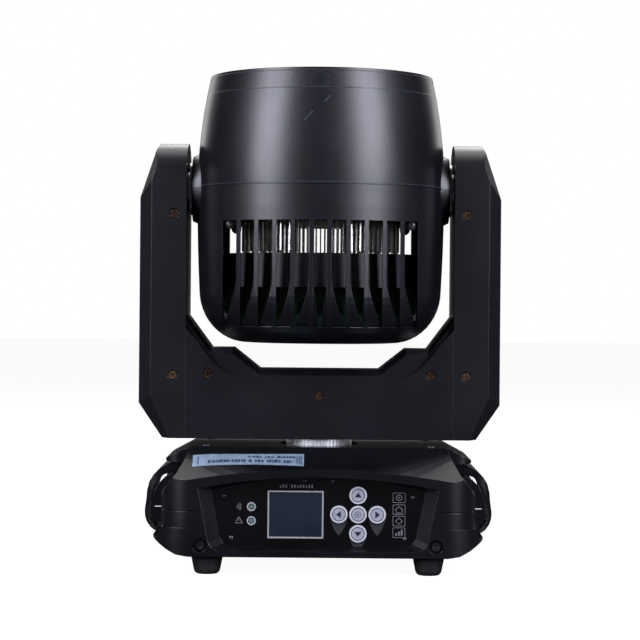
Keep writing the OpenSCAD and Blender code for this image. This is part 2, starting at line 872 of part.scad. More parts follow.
module front_form(inset, top) {
    steps = 14;
    translate([0, 0, tilt_z]) rotate_extrude($fn = 128) polygon(concat(
        [[0, 0]],
        [for (i = [0 : steps]) let (h = head_front_h * i / steps) [front_r(h) - inset, h]],
        [[front_r(head_front_h) - inset, head_front_h + top], [0, head_front_h + top]]));
}

// Round pad on each side of the head, above or below the seam
module pivot_pads(z0, z1) {
    both_sides() intersection() {
        translate([88, 0, tilt_z]) rotate([0, 90, 0]) cylinder(h = 16.5, r1 = 34, r2 = 26.5);
        block([80, -40, tilt_z + z0], [110, 40, tilt_z + z1]);
    }
}

module head_front_shell() {
    color(shell_black) difference() {
        union() {
            front_form(0, 0);
            pivot_pads(0, 40);
            translate([0, 0, tilt_z]) cylinder(h = 0.9, r = head_r + 0.3, $fn = 128);
        }
        front_form(wall, 5);
        rod_x(0, tilt_z, -200, 200, 13);
        translate([0, 0, tilt_z - 1]) cylinder(h = 1.5, r = head_r - wall);
    }
}

slot_count_side = (vent_count - 1) / 2;

// Front view of the web that closes part of one slot. It widens downwards
// from the side that faces the middle of the head.
module web_2d(n) {
    steps = 8;
    start = -72;
    bend = 1.6;
    toward = n == 0 ? 0 : -sign(n);
    near = n * slot_pitch + toward * slot_w / 2;
    drop = slot_bottom - start;
    if (n == 0) for (s = [-1, 1]) polygon(concat(
        [[s * slot_w / 2, start], [s * slot_w / 2, slot_bottom]],
        [for (i = [steps : -1 : 1]) let (t = i / steps)
            [s * slot_w / 2 * (1 - pow(t, bend) * 0.98), start + drop * t]]));
    if (n != 0) polygon(concat(
        [[near, start], [near, slot_bottom]],
        [for (i = [steps : -1 : 1]) let (t = i / steps)
            [near - toward * slot_w * pow(t, bend), start + drop * t]]));
}

module vent_slots() {
    front_and_back() for (n = [-slot_count_side : slot_count_side])
        block([n * slot_pitch - slot_w / 2, -head_r - 5, tilt_z + slot_bottom],
              [n * slot_pitch + slot_w / 2, -20, tilt_z + slot_top]);
}

module vent_webs() {
    intersection() {
        difference() {
            rear_form(1.4);
            rear_form(4);
        }
        front_and_back() translate([0, 0, tilt_z]) along_y(-head_r - 5, -20)
            for (n = [-slot_count_side : slot_count_side]) web_2d(n);
    }
}

module vent_ribs() {
    rib = slot_pitch - slot_w;
    intersection() {
        difference() {
            rear_form(1);
            rear_form(8.5);
        }
        front_and_back() for (n = [-slot_count_side : slot_count_side + 1])
            translate([(n - 0.5) * slot_pitch, 0, 0])
                block([-rib / 2, -head_r - 5, tilt_z + slot_bottom - 2], [rib / 2, -20, tilt_z + slot_top + 2]);
    }
}

module head_rear_shell() {
    color(shell_black) {
        difference() {
            union() {
                rear_form(0);
                pivot_pads(-40, -0.02);
            }
            rear_form(wall);
            rod_x(0, tilt_z, -200, 200, 13);
            vent_slots();
            translate([0, 0, tilt_z - 0.02]) cylinder(h = 5, r = 200);
        }
        vent_ribs();
        vent_webs();
    }
}

module lens_bezel() {
    in_r = carriage_r + 0.8;
    low = head_front_h - 7;
    high = head_front_h - 2;
    color(gloss_black) translate([0, 0, tilt_z]) rotate_extrude($fn = 128) polygon([
        [in_r, low], [front_r(low) - wall - 0.1, low], [front_r(high) - wall - 0.1, high],
        [in_r + 2, high], [in_r, high - 2]]);
}

module heat_sink() {
    sink_r = 68;
    pitch = 3.5;
    color(aluminium) {
        translate([0, 0, tilt_z - 28]) cylinder(h = 6, r = sink_r);
        along_z(tilt_z - 51, tilt_z - 27.9) intersection() {
            circle(sink_r);
            for (i = [-18 : 18]) translate([i * pitch - 0.6, -sink_r]) square([1.2, 2 * sink_r]);
        }
    }
}

// Seven places: one in the middle and six round it
module lens_spots() {
    children();
    for (a = [0 : 60 : 300]) rotate(a) translate([lens_ring_r, 0, 0]) children();
}

module led_board() {
    color(board_green) translate([0, 0, tilt_z - 21.95]) {
        cylinder(h = 1.6, r = 62);
        lens_spots() {
            translate([-4, -4, 1.6]) cube([8, 8, 1.2]);
            translate([0, 0, 2.8]) cylinder(h = 0.8, r = 3);
        }
    }
}

fan_low = -80;
fan_size = 120;
fan_r = 57;

// Square fan frame with a round shroud that guides the air to the fins
module head_fan_frame() {
    shroud_r = 84;
    post = 52.5;
    color([0.04, 0.04, 0.04]) translate([0, 0, tilt_z + fan_low]) {
        linear_extrude(25) difference() {
            rounded(fan_size, fan_size, 8);
            circle(fan_r + 1);
            for (x = [-post, post], y = [-post, post]) translate([x, y]) circle(2.2);
        }
        translate([0, 0, 23]) linear_extrude(2) difference() {
            circle(shroud_r);
            square(fan_size - 1, center = true);
        }
        linear_extrude(27) difference() {
            circle(shroud_r);
            circle(shroud_r - 2);
        }
        linear_extrude(2.5) intersection() {
            union() {
                circle(20);
                for (a = [45, 135]) rotate(a) square([150, 5], center = true);
            }
            circle(fan_r + 2);
        }
        cylinder(h = 16, r = 2);
    }
}

module head_fan_rotor() {
    blades = 7;
    low = tilt_z + fan_low + 4;
    color([0.05, 0.05, 0.05]) difference() {
        union() {
            translate([0, 0, low]) cylinder(h = 18, r = 21);
            intersection() {
                for (i = [0 : blades - 1]) rotate(i * 360 / blades) translate([18, 0, low + 9])
                    rotate([38, 0, 0]) translate([0, -14, -0.9]) cube([42, 28, 1.8]);
                translate([0, 0, low]) cylinder(h = 18, r = fan_r - 1);
            }
        }
        translate([0, 0, low - 1]) cylinder(h = 14, r = 2 + fit);
    }
}

// Upright circuit board below the fan
module head_driver_board() {
    color(board_green) translate([0, 0, tilt_z]) {
        along_y(-0.8, 0.8) polygon([
            [-79, -80.05], [79, -80.05], [79, -99], [63, -116], [-63, -116], [-79, -99]]);
        for (x = [-56 : 16 : 56]) block([x - 5, -9, -100], [x + 5, 8, -90]);
        for (x = [-40, 0, 40]) block([x - 8, -6, -114], [x + 8, 5, -104]);
    }
}

module tilt_hub(shaft_end) {
    color(steel) difference() {
        union() {
            rod_x(0, tilt_z, 96.05, 104.6, 12);
            translate([0, 0, tilt_z]) along_x(104.55, 106.6) rounded(30, 42, 9);
            rod_x(0, tilt_z, 106.5, 109.5, 14);
            rod_x(0, tilt_z, 109.4, shaft_end, tilt_shaft_r);
            if (shaft_end > 125) translate([tilt_belt_x - 0.8, 0, tilt_z]) rotate([0, 90, 0])
                toothed(tilt_r, belt_h + 1.6, tilt_shaft_r - 1);
        }
        rod_x(0, tilt_z, 90, 140, 6);
    }
}

module tilt_hub_right() { tilt_hub(133); }
module tilt_hub_left() { mirror([1, 0, 0]) tilt_hub(124); }

module head_chassis() {
    color(steel) difference() {
        union() {
            translate([0, 0, tilt_z + ring_rel]) cylinder(h = 3, r = 92);
            for (a = [0 : 120 : 240]) rotate(a) translate([65, 0, tilt_z - 21.95]) cylinder(h = 6, r = 2.3);
            both_sides() block([94, -17, tilt_z + ring_rel], [96, 17, tilt_z + 20]);
            both_sides() block([85, -17, tilt_z + ring_rel], [96, 17, tilt_z + ring_rel + 3]);
        }
        translate([0, 0, tilt_z - 30]) cylinder(h = 40, r = 62);
        rod_x(0, tilt_z, -120, 120, 8);
    }
}

module zoom_motor() {
    color([0.1, 0.1, 0.1]) translate([0, rod_ring_r, tilt_z + ring_rel + 3.02]) {
        linear_extrude(19) rounded(35, 35, 3);
        cylinder(h = 20, r = 8);
    }
}

module zoom_screw() {
    bottom = ring_rel + 23.3;
    color(steel) translate([0, rod_ring_r, tilt_z + bottom]) {
        cylinder(h = zoom_travel + 28, r = screw_r);
        cylinder(h = 3, r = 6);
    }
}

module rod_spots() {
    for (a = [30, 150, 270]) rotate(a) translate([rod_ring_r, 0, 0]) children();
}

module zoom_rods() {
    color(steel) rod_spots() translate([0, 0, tilt_z + ring_rel + 3.02]) {
        cylinder(h = zoom_travel + 50, r = rod_r);
        cylinder(h = 3, r = 6);
    }
}

module lens_carriage() {
    low = plate_rel - 38;
    color([0.06, 0.06, 0.07]) translate([0, 0, tilt_z]) difference() {
        union() {
            translate([0, 0, plate_rel]) cylinder(h = 3, r = carriage_r, $fn = 128);
            translate([0, 0, plate_rel - 20]) cylinder(h = 21, r = carriage_r, $fn = 128);
            rod_spots() translate([0, 0, low]) cylinder(h = 38.5, r = 6);
            translate([0, rod_ring_r, low]) cylinder(h = 38.5, r = 8);
        }
        difference() {
            translate([0, 0, plate_rel - 21]) cylinder(h = 21, r = carriage_r - 2);
            rod_spots() translate([0, 0, low]) cylinder(h = 38.5, r = 6);
            translate([0, rod_ring_r, low]) cylinder(h = 38.5, r = 8);
        }
        rod_spots() translate([0, 0, low - 1]) cylinder(h = 38.5, r = rod_r + fit);
        translate([0, rod_ring_r, low - 1]) cylinder(h = 38.5, r = screw_r + fit);
        lens_spots() translate([0, 0, plate_rel - 5]) cylinder(h = 20, r = lens_r - 0.4);
    }
}

module front_lenses() {
    dome = 5;
    edge = lens_r - 0.5;
    dome_r = (edge * edge + dome * dome) / (2 * dome);
    color([0.8, 0.85, 0.9]) translate([0, 0, tilt_z + plate_rel]) lens_spots() rotate_extrude()
        polygon(concat(
            [[0, 0.2], [edge, 0.2], [edge, 3]],
            [for (i = [1 : 8]) let (x = edge * (1 - i / 8)) [x, 3 + dome - dome_r + sqrt(dome_r * dome_r - x * x)]]));
}

// ---------------------------------------------------------------- assembly

base_tray();
base_cover();
side_handle_left();
side_handle_right();
rubber_feet();
base_screws();
base_chassis();
control_fascia();
lcd_module();
status_leds();
control_board();
rear_panel();
mains_inlet();
mains_outlet();
dmx_in_socket();
dmx_out_socket();
fuse_holder();
power_supply();
driver_board();
pan_ring_pulley();
pan_bearing();
safety_eye();
button_up();
button_down();
button_left();
button_right();
button_ok();
yoke_frame();
arm_cover_left();
arm_cover_right();
arm_inner_plates();
crossbar_front_cover();
crossbar_rear_cover();
crossbar_liner();
crossbar_floor();
pan_spindle();
pan_motor();
tilt_motor();
pan_belt();
tilt_belt();
tilt_bearings();
yoke_screws();
pan_motor_pulley();
tilt_motor_pulley();
head_front_shell();
head_rear_shell();
lens_bezel();
heat_sink();
led_board();
head_fan_frame();
head_fan_rotor();
head_driver_board();
tilt_hub_left();
tilt_hub_right();
head_chassis();
zoom_motor();
zoom_screw();
zoom_rods();
lens_carriage();
front_lenses();
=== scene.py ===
"""Looks for the moving head light: materials, printed and small parts, light and camera."""

import json
import math
import random

import bpy
import bmesh
from mathutils import Matrix, Vector
from mathutils.bvhtree import BVHTree


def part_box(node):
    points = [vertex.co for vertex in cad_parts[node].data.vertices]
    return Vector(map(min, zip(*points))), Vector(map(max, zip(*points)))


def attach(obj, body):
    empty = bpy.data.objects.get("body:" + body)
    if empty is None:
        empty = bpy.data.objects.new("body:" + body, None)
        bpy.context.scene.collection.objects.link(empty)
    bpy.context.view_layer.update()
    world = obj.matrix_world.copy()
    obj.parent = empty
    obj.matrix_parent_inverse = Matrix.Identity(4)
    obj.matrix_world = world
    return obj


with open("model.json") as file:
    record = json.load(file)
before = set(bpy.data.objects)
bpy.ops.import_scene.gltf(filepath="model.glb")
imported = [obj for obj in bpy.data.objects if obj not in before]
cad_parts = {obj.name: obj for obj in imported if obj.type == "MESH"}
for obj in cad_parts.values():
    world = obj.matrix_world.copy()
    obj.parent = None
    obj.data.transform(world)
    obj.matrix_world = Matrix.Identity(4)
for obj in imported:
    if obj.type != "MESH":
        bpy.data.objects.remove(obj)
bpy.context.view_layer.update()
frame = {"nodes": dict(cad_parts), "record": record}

MM = 0.001


# ------------------------------------------------------------------ materials

class Look:
    """A material under construction. Its methods add nodes and return their output sockets."""

    def __init__(self, name):
        self.material = bpy.data.materials.new(name)
        self.material.use_nodes = True
        self.tree = self.material.node_tree
        self.tree.nodes.clear()
        self.shader = self.tree.nodes.new("ShaderNodeBsdfPrincipled")
        output = self.tree.nodes.new("ShaderNodeOutputMaterial")
        self.tree.links.new(self.shader.outputs["BSDF"], output.inputs["Surface"])
        self.place = self.tree.nodes.new("ShaderNodeTexCoord").outputs["Object"]

    def put(self, socket, value):
        """Links a socket to an input, or sets the input's own value."""
        if isinstance(value, bpy.types.NodeSocket):
            self.tree.links.new(value, socket)
        else:
            socket.default_value = value

    def set(self, **inputs):
        """Sets inputs of the shader; an underscore stands for a space."""
        for name, value in inputs.items():
            if name.endswith("color") and not isinstance(value, bpy.types.NodeSocket):
                value = (*value, 1.0)
            title = {"base_color": "Base Color", "ior": "IOR"}.get(name, name.replace("_", " ").title())
            self.put(self.shader.inputs[title], value)

    def stretched(self, scale):
        """Object coordinates, stretched per axis."""
        node = self.tree.nodes.new("ShaderNodeMapping")
        self.put(node.inputs["Vector"], self.place)
        node.inputs["Scale"].default_value = scale
        return node.outputs["Vector"]

    def noise(self, scale, detail=3.0, roughness=0.55, vector=None):
        """Cloudy noise between 0 and 1."""
        node = self.tree.nodes.new("ShaderNodeTexNoise")
        self.put(node.inputs["Vector"], vector or self.place)
        node.inputs["Scale"].default_value = scale
        node.inputs["Detail"].default_value = detail
        node.inputs["Roughness"].default_value = roughness
        return node.outputs["Fac"]

    def cells(self, scale, feature="F1"):
        """Distance to the middle or to the edge of scattered cells."""
        node = self.tree.nodes.new("ShaderNodeTexVoronoi")
        node.feature = feature
        self.put(node.inputs["Vector"], self.place)
        node.inputs["Scale"].default_value = scale
        return node.outputs["Distance"]

    def math(self, operation, a, b=0.0):
        """One arithmetic step on two values."""
        node = self.tree.nodes.new("ShaderNodeMath")
        node.operation = operation
        self.put(node.inputs[0], a)
        self.put(node.inputs[1], b)
        return node.outputs["Value"]

    def remap(self, value, from_low, from_high, low=0.0, high=1.0):
        """Smoothly maps a range of values to another one."""
        node = self.tree.nodes.new("ShaderNodeMapRange")
        node.interpolation_type = "SMOOTHSTEP"
        self.put(node.inputs["Value"], value)
        for index, number in enumerate((from_low, from_high, low, high), start=1):
            node.inputs[index].default_value = number
        return node.outputs["Result"]

    def mix(self, factor, a, b):
        """Mixes two colours."""
        node = self.tree.nodes.new("ShaderNodeMix")
        node.data_type = "RGBA"
        self.put(node.inputs["Factor"], factor)
        colours = [s for s in node.inputs if s.type == "RGBA"]
        for socket, colour in zip(colours, (a, b)):
            self.put(socket, colour if isinstance(colour, bpy.types.NodeSocket) else (*colour, 1.0))
        return next(s for s in node.outputs if s.type == "RGBA")

    def axis(self, name):
        """One object coordinate, in metres."""
        node = self.tree.nodes.new("ShaderNodeSeparateXYZ")
        self.put(node.inputs["Vector"], self.place)
        return node.outputs[name]

    def round_edges(self, radius):
        """Normals that run round the edges, and a mask that is 1 on them."""
        bevel = self.tree.nodes.new("ShaderNodeBevel")
        bevel.samples = 4
        bevel.inputs["Radius"].default_value = radius
        true_normal = self.tree.nodes.new("ShaderNodeNewGeometry").outputs["Normal"]
        dot = self.tree.nodes.new("ShaderNodeVectorMath")
        dot.operation = "DOT_PRODUCT"
        self.put(dot.inputs[0], bevel.outputs["Normal"])
        self.put(dot.inputs[1], true_normal)
        return bevel.outputs["Normal"], self.remap(dot.outputs["Value"], 0.995, 0.80)

    def bump(self, height, distance, strength=1.0, normal=None):
        """Normals tilted by a height map."""
        node = self.tree.nodes.new("ShaderNodeBump")
        self.put(node.inputs["Height"], height)
        node.inputs["Distance"].default_value = distance
        node.inputs["Strength"].default_value = strength
        if normal:
            self.put(node.inputs["Normal"], normal)
        return node.outputs["Normal"]


def moulded(name, dark, light, rough, grain_depth=0.02, coat=0.0, scuffs=0.5):
    """Moulded plastic: spark-eroded grain, uneven gloss, handling marks and paler worn edges."""
    look = Look(name)
    cloud = look.noise(22.0, 4.0)
    grain = look.noise(2600.0, 2.0, 0.6)
    wipe = look.noise(14.0, 4.0, 0.6)
    hair = look.noise(240.0, 2.0, 0.5, look.stretched((1.0, 1.0, 0.05)))
    scratch = look.remap(hair, 0.72, 0.76)
    normal, worn = look.round_edges(0.6 * MM)
    tone = look.mix(look.remap(cloud, 0.3, 0.7), dark, light)
    pale = tuple(min(1.0, c * 2.2 + 0.006) for c in light)
    wear = look.math("MULTIPLY", worn, look.remap(look.noise(90.0, 4.0), 0.35, 0.75, 0.1, 0.55))
    tone = look.mix(wear, tone, pale)
    gloss = look.math("ADD", look.remap(wipe, 0.3, 0.75, rough[0], rough[1]),
                      look.math("MULTIPLY", scratch, 0.10 * scuffs))
    look.set(base_color=tone, roughness=gloss, normal=look.bump(grain, grain_depth * MM, 0.6, normal))
    if coat:
        look.set(coat_weight=coat, coat_roughness=0.09)
    return look.material


def brushed(name, dark, light, rough, along=(1.0, 1.0, 0.04), grain=900.0):
    """Metal with fine brush lines and faint stains."""
    look = Look(name)
    lines = look.noise(grain, 3.0, 0.6, look.stretched(along))
    stain = look.noise(45.0, 4.0)
    normal, worn = look.round_edges(0.3 * MM)
    tone = look.mix(look.remap(stain, 0.3, 0.75), dark, light)
    tone = look.mix(look.math("MULTIPLY", worn, 0.5), tone, tuple(min(1.0, c * 1.25) for c in light))
    look.set(
        base_color=tone,
        roughness=look.remap(lines, 0.3, 0.7, rough[0], rough[1]),
        normal=look.bump(lines, 0.012 * MM, 0.5, normal),
        metallic=1.0,
    )
    return look.material


def rubber(name):
    """Dull black rubber with dust in its pores."""
    look = Look(name)
    grain = look.noise(1700.0, 3.0, 0.7)
    dust = look.remap(look.noise(120.0, 5.0, 0.7), 0.52, 0.75)
    normal, worn = look.round_edges(0.8 * MM)
    tone = look.mix(dust, (0.0020, 0.0020, 0.0024), (0.008, 0.008, 0.008))
    look.set(
        base_color=look.mix(look.math("MULTIPLY", worn, 0.4), tone, (0.022, 0.022, 0.022)),
        roughness=look.remap(grain, 0.3, 0.7, 0.55, 0.8),
        normal=look.bump(grain, 0.05 * MM, 0.7, normal),
    )
    return look.material


def circuit(name):
    """Lacquered board with tracks and pale pads."""
    look = Look(name)
    tracks = look.cells(180.0, "DISTANCE_TO_EDGE")
    pads = look.cells(320.0)
    tone = look.mix(look.remap(tracks, 0.02, 0.05), (0.02, 0.12, 0.055), (0.012, 0.07, 0.032))
    tone = look.mix(look.remap(pads, 0.12, 0.08), tone, (0.55, 0.52, 0.42))
    look.set(
        base_color=tone,
        roughness=look.remap(pads, 0.1, 0.5, 0.25, 0.42),
        normal=look.bump(tracks, 0.04 * MM, 0.5),
        coat_weight=0.4,
    )
    return look.material


def speckled(name, dark, light, rough, depth=0.06):
    """Powder coat: orange-peel skin over a plain colour."""
    look = Look(name)
    peel = look.noise(1500.0, 2.0, 0.45)
    cloud = look.noise(30.0, 3.0)
    normal, worn = look.round_edges(0.5 * MM)
    tone = look.mix(look.remap(cloud, 0.35, 0.7), dark, light)
    pale = tuple(c * 2.2 + 0.02 for c in light)
    look.set(
        base_color=look.mix(look.math("MULTIPLY", worn, 0.35), tone, pale),
        roughness=look.remap(peel, 0.3, 0.7, rough[0], rough[1]),
        normal=look.bump(peel, depth * MM, 0.6, normal),
    )
    return look.material


def inside_box(look, low, high):
    """A mask that is 1 inside a rectangle of object X and Z, given in metres."""
    soft = 0.1 * MM
    mask = None
    for name, a, b in (("X", low[0], high[0]), ("Z", low[1], high[1])):
        value = look.axis(name)
        for edge, sign in ((a, 1.0), (b, -1.0)):
            depth = look.math("MULTIPLY", look.math("SUBTRACT", value, edge), sign)
            side = look.remap(depth, -soft, soft)
            mask = side if mask is None else look.math("MULTIPLY", mask, side)
    return mask


def display(name):
    """Dark slate window with a faint painted sheen that makes it lighter towards the top, inside a pale
    frame.
    """
    low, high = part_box("lcd_module")
    rim = 1.15 * MM
    look = Look(name)
    window = inside_box(look, (low[0] + rim, low[2] + rim), (high[0] - rim, high[2] - rim))
    # Painted sheen: the window's colour grows lighter towards its top.
    painted_sheen = look.remap(look.axis("Z"), low[2], high[2])
    pane = look.mix(painted_sheen, (0.006, 0.011, 0.020), (0.010, 0.015, 0.024))
    cloud = look.noise(70.0, 3.0)
    pane = look.mix(look.remap(cloud, 0.3, 0.7, 0.0, 0.5), pane, (0.014, 0.018, 0.026))
    frame_tone = look.mix(look.noise(400.0), (0.24, 0.24, 0.25), (0.30, 0.30, 0.31))
    look.set(
        base_color=look.mix(window, frame_tone, pane),
        roughness=look.remap(look.noise(900.0), 0.3, 0.7, 0.16, 0.24),
        normal=look.bump(look.noise(2400.0), 0.004 * MM, 0.5),
        coat_weight=0.6,
        coat_roughness=0.05,
    )
    return look.material


def key_cap(name):
    """Pale round key: bright outer ring, grey inner line and a brushed silver face."""
    keys = [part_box("button_" + side) for side in ("up", "down", "left", "right", "ok")]
    look = Look(name)
    nearest = None
    for low, high in keys:
        dx = look.math("SUBTRACT", look.axis("X"), (low[0] + high[0]) / 2)
        dz = look.math("SUBTRACT", look.axis("Z"), (low[2] + high[2]) / 2)
        squares = look.math("ADD", look.math("MULTIPLY", dx, dx), look.math("MULTIPLY", dz, dz))
        far = look.math("SQRT", squares)
        nearest = far if nearest is None else look.math("MINIMUM", nearest, far)
    ring = look.remap(nearest, 5.3 * MM, 5.6 * MM)
    past_face = look.remap(nearest, 4.6 * MM, 4.9 * MM)
    groove = look.math("MULTIPLY", past_face, look.math("SUBTRACT", 1.0, ring))
    brushed_face = look.noise(700.0, 3.0, 0.6, look.stretched((1.0, 1.0, 0.2)))
    face = look.mix(look.remap(brushed_face, 0.3, 0.7), (0.22, 0.23, 0.275), (0.29, 0.30, 0.35))
    face = look.mix(groove, face, (0.030, 0.033, 0.042))
    look.set(
        base_color=look.mix(ring, face, (0.42, 0.43, 0.46)),
        roughness=look.remap(brushed_face, 0.3, 0.7, 0.28, 0.40),
        normal=look.bump(brushed_face, 0.01 * MM, 0.4, look.round_edges(0.6 * MM)[0]),
        coat_weight=0.3,
    )
    return look.material


def glass(name):
    """Clear moulded lens with faint flow marks."""
    look = Look(name)
    flow = look.noise(35.0, 2.0)
    look.set(
        base_color=look.mix(look.remap(flow, 0.35, 0.7), (0.93, 0.95, 0.97), (0.98, 0.99, 1.0)),
        roughness=look.remap(look.noise(300.0, 4.0), 0.4, 0.75, 0.02, 0.07),
        normal=look.bump(flow, 0.02 * MM, 0.4),
        transmission_weight=1.0,
        ior=1.49,
    )
    return look.material


def print_ink(name, colour, shade):
    """Silk-screen ink with small gaps and a slightly raised, dry surface."""
    look = Look(name)
    speck = look.noise(3800.0, 2.0)
    look.set(
        base_color=look.mix(look.remap(speck, 0.55, 0.75), colour, shade),
        roughness=look.remap(speck, 0.3, 0.7, 0.42, 0.6),
        normal=look.bump(speck, 0.005 * MM, 0.5),
    )
    return look.material


def label_paper(name):
    """Laminated pale blue film with faint mottling."""
    look = Look(name)
    cloud = look.noise(160.0, 4.0)
    look.set(
        base_color=look.mix(look.remap(cloud, 0.3, 0.7), (0.125, 0.17, 0.225), (0.18, 0.232, 0.30)),
        roughness=look.remap(look.noise(500.0), 0.3, 0.7, 0.3, 0.42),
        normal=look.bump(cloud, 0.02 * MM, 0.5),
        coat_weight=0.3,
    )
    return look.material


def led_dome(name, colour):
    """Milky emitter dome with a darker core."""
    look = Look(name)
    core = look.cells(900.0)
    look.set(
        base_color=look.mix(look.remap(core, 0.1, 0.5), tuple(c * 0.55 for c in colour), colour),
        roughness=look.remap(look.noise(900.0), 0.3, 0.7, 0.15, 0.25),
        normal=look.bump(core, 0.01 * MM, 0.4),
        subsurface_weight=0.2,
        coat_weight=0.5,
    )
    return look.material


# Surfaces of the record's slots
LOOKS = {
    "satin_black_plastic": moulded("satin_black", (0.0022, 0.0025, 0.0042), (0.0034, 0.0040, 0.0062),
                                   (0.33, 0.38)),
    "gloss_black_plastic": moulded("gloss_black", (0.0014, 0.0016, 0.0024), (0.0026, 0.0030, 0.0044),
                                   (0.25, 0.32), grain_depth=0.008, coat=0.25),
    "trim_black_plastic": moulded("trim_black", (0.008, 0.008, 0.010), (0.014, 0.014, 0.017), (0.46, 0.56)),
    "rubber": rubber("rubber_black"),
    "steel": brushed("zinc_steel", (0.42, 0.42, 0.43), (0.60, 0.60, 0.60), (0.22, 0.42)),
    "aluminium": brushed("machined_aluminium", (0.60, 0.58, 0.54), (0.84, 0.83, 0.80), (0.20, 0.38)),
    "display": display("display_window"),
    "led": led_dome("led_milky", (0.10, 0.15, 0.14)),
    "circuit_board": circuit("circuit_board"),
    "painted_panel": speckled("panel_paint", (0.020, 0.020, 0.023), (0.030, 0.030, 0.034), (0.42, 0.55)),
    "connector_black": moulded("connector_black", (0.012, 0.012, 0.013), (0.02, 0.02, 0.022), (0.34, 0.46)),
    "connector_metal": speckled("black_plated", (0.020, 0.020, 0.022), (0.032, 0.032, 0.035), (0.3, 0.42),
                                depth=0.02),
    "power_module": brushed("mill_aluminium", (0.5, 0.5, 0.48), (0.66, 0.66, 0.64), (0.34, 0.5)),
    "button": key_cap("key_cap"),
    "motor": speckled("motor_black", (0.018, 0.018, 0.02), (0.03, 0.03, 0.033), (0.4, 0.55)),
    "lens": glass("lens_clear"),
}

# Surfaces of single nodes and of small parts
ALL_WAYS = (1.0, 1.0, 1.0)
FASCIA = moulded("fascia_gloss", (0.0010, 0.0010, 0.0014), (0.0018, 0.0018, 0.0024), (0.10, 0.18),
                 grain_depth=0.002, coat=0.4, scuffs=0.3)
# Paler copy of the satin black plastic. Its extra lightness partly paints the highlight on the seam bead and
# rim lines; the moulding mark uses it too.
EDGE_BEAD = moulded("edge_bead", (0.018, 0.019, 0.024), (0.026, 0.027, 0.033), (0.26, 0.34))
SCUFF = moulded("scuff", (0.045, 0.048, 0.056), (0.065, 0.068, 0.078), (0.45, 0.6))
BRONZE = brushed("bronzed_screw", (0.05, 0.03, 0.022), (0.22, 0.13, 0.08), (0.28, 0.5), ALL_WAYS)
DARK_STEEL = brushed("dark_screw", (0.05, 0.05, 0.055), (0.15, 0.15, 0.16), (0.3, 0.45), ALL_WAYS)
SMALL_STEEL = brushed("small_screws", (0.20, 0.20, 0.21), (0.42, 0.42, 0.43), (0.25, 0.42), ALL_WAYS)
REFLECTOR = brushed("reflector", (0.55, 0.55, 0.56), (0.75, 0.75, 0.76), (0.12, 0.22), ALL_WAYS)
RING_METAL = brushed("ring_metal", (0.70, 0.70, 0.71), (0.90, 0.90, 0.91), (0.40, 0.54),
                     along=(0.3, 0.3, 1.0), grain=500.0)
PALE_INK = print_ink("ink_pale", (0.10, 0.10, 0.11), (0.14, 0.14, 0.15))
BRIGHT_INK = print_ink("ink_bright", (0.26, 0.27, 0.28), (0.34, 0.35, 0.36))
# Dark ink for the key arrows; it also paints the shade of the rear vent slots.
DARK_INK_AND_VENT_SHADE = print_ink("ink_dark_and_vent_shade", (0.004, 0.005, 0.009), (0.012, 0.014, 0.022))
# Grey that paints the reflections of the keys on the glossy fascia.
KEY_REFLECTION_PAINT = print_ink("painted_key_reflection_ink", (0.016, 0.016, 0.020), (0.024, 0.024, 0.029))
BLUE_INK = print_ink("ink_blue", (0.010, 0.022, 0.060), (0.022, 0.040, 0.090))
KEY_INK = print_ink("ink_key", (0.07, 0.075, 0.09), (0.11, 0.115, 0.13))
LABEL = label_paper("label_film")

# Nodes that look different from the rest of their slot
SPECIAL = {
    "control_fascia": FASCIA,
    "yoke_screws": BRONZE,
    "base_screws": DARK_STEEL,
    "safety_eye": DARK_STEEL,
    "pan_ring_pulley": RING_METAL,
}

slot_of = {row["node"]: row["material_slot"] for row in frame["record"]["subparts"]}
for node, thing in frame["nodes"].items():
    thing.data.materials.clear()
    thing.data.materials.append(SPECIAL.get(node) or LOOKS[slot_of[node]])


# ------------------------------------------------- printed marks and small parts

def piece(name, bm, material, body):
    """Turns a bmesh into an object that moves with a body."""
    bmesh.ops.recalc_face_normals(bm, faces=bm.faces)
    mesh = bpy.data.meshes.new(name)
    bm.to_mesh(mesh)
    bm.free()
    mesh.materials.append(material)
    thing = bpy.data.objects.new(name, mesh)
    bpy.context.collection.objects.link(thing)
    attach(thing, body)


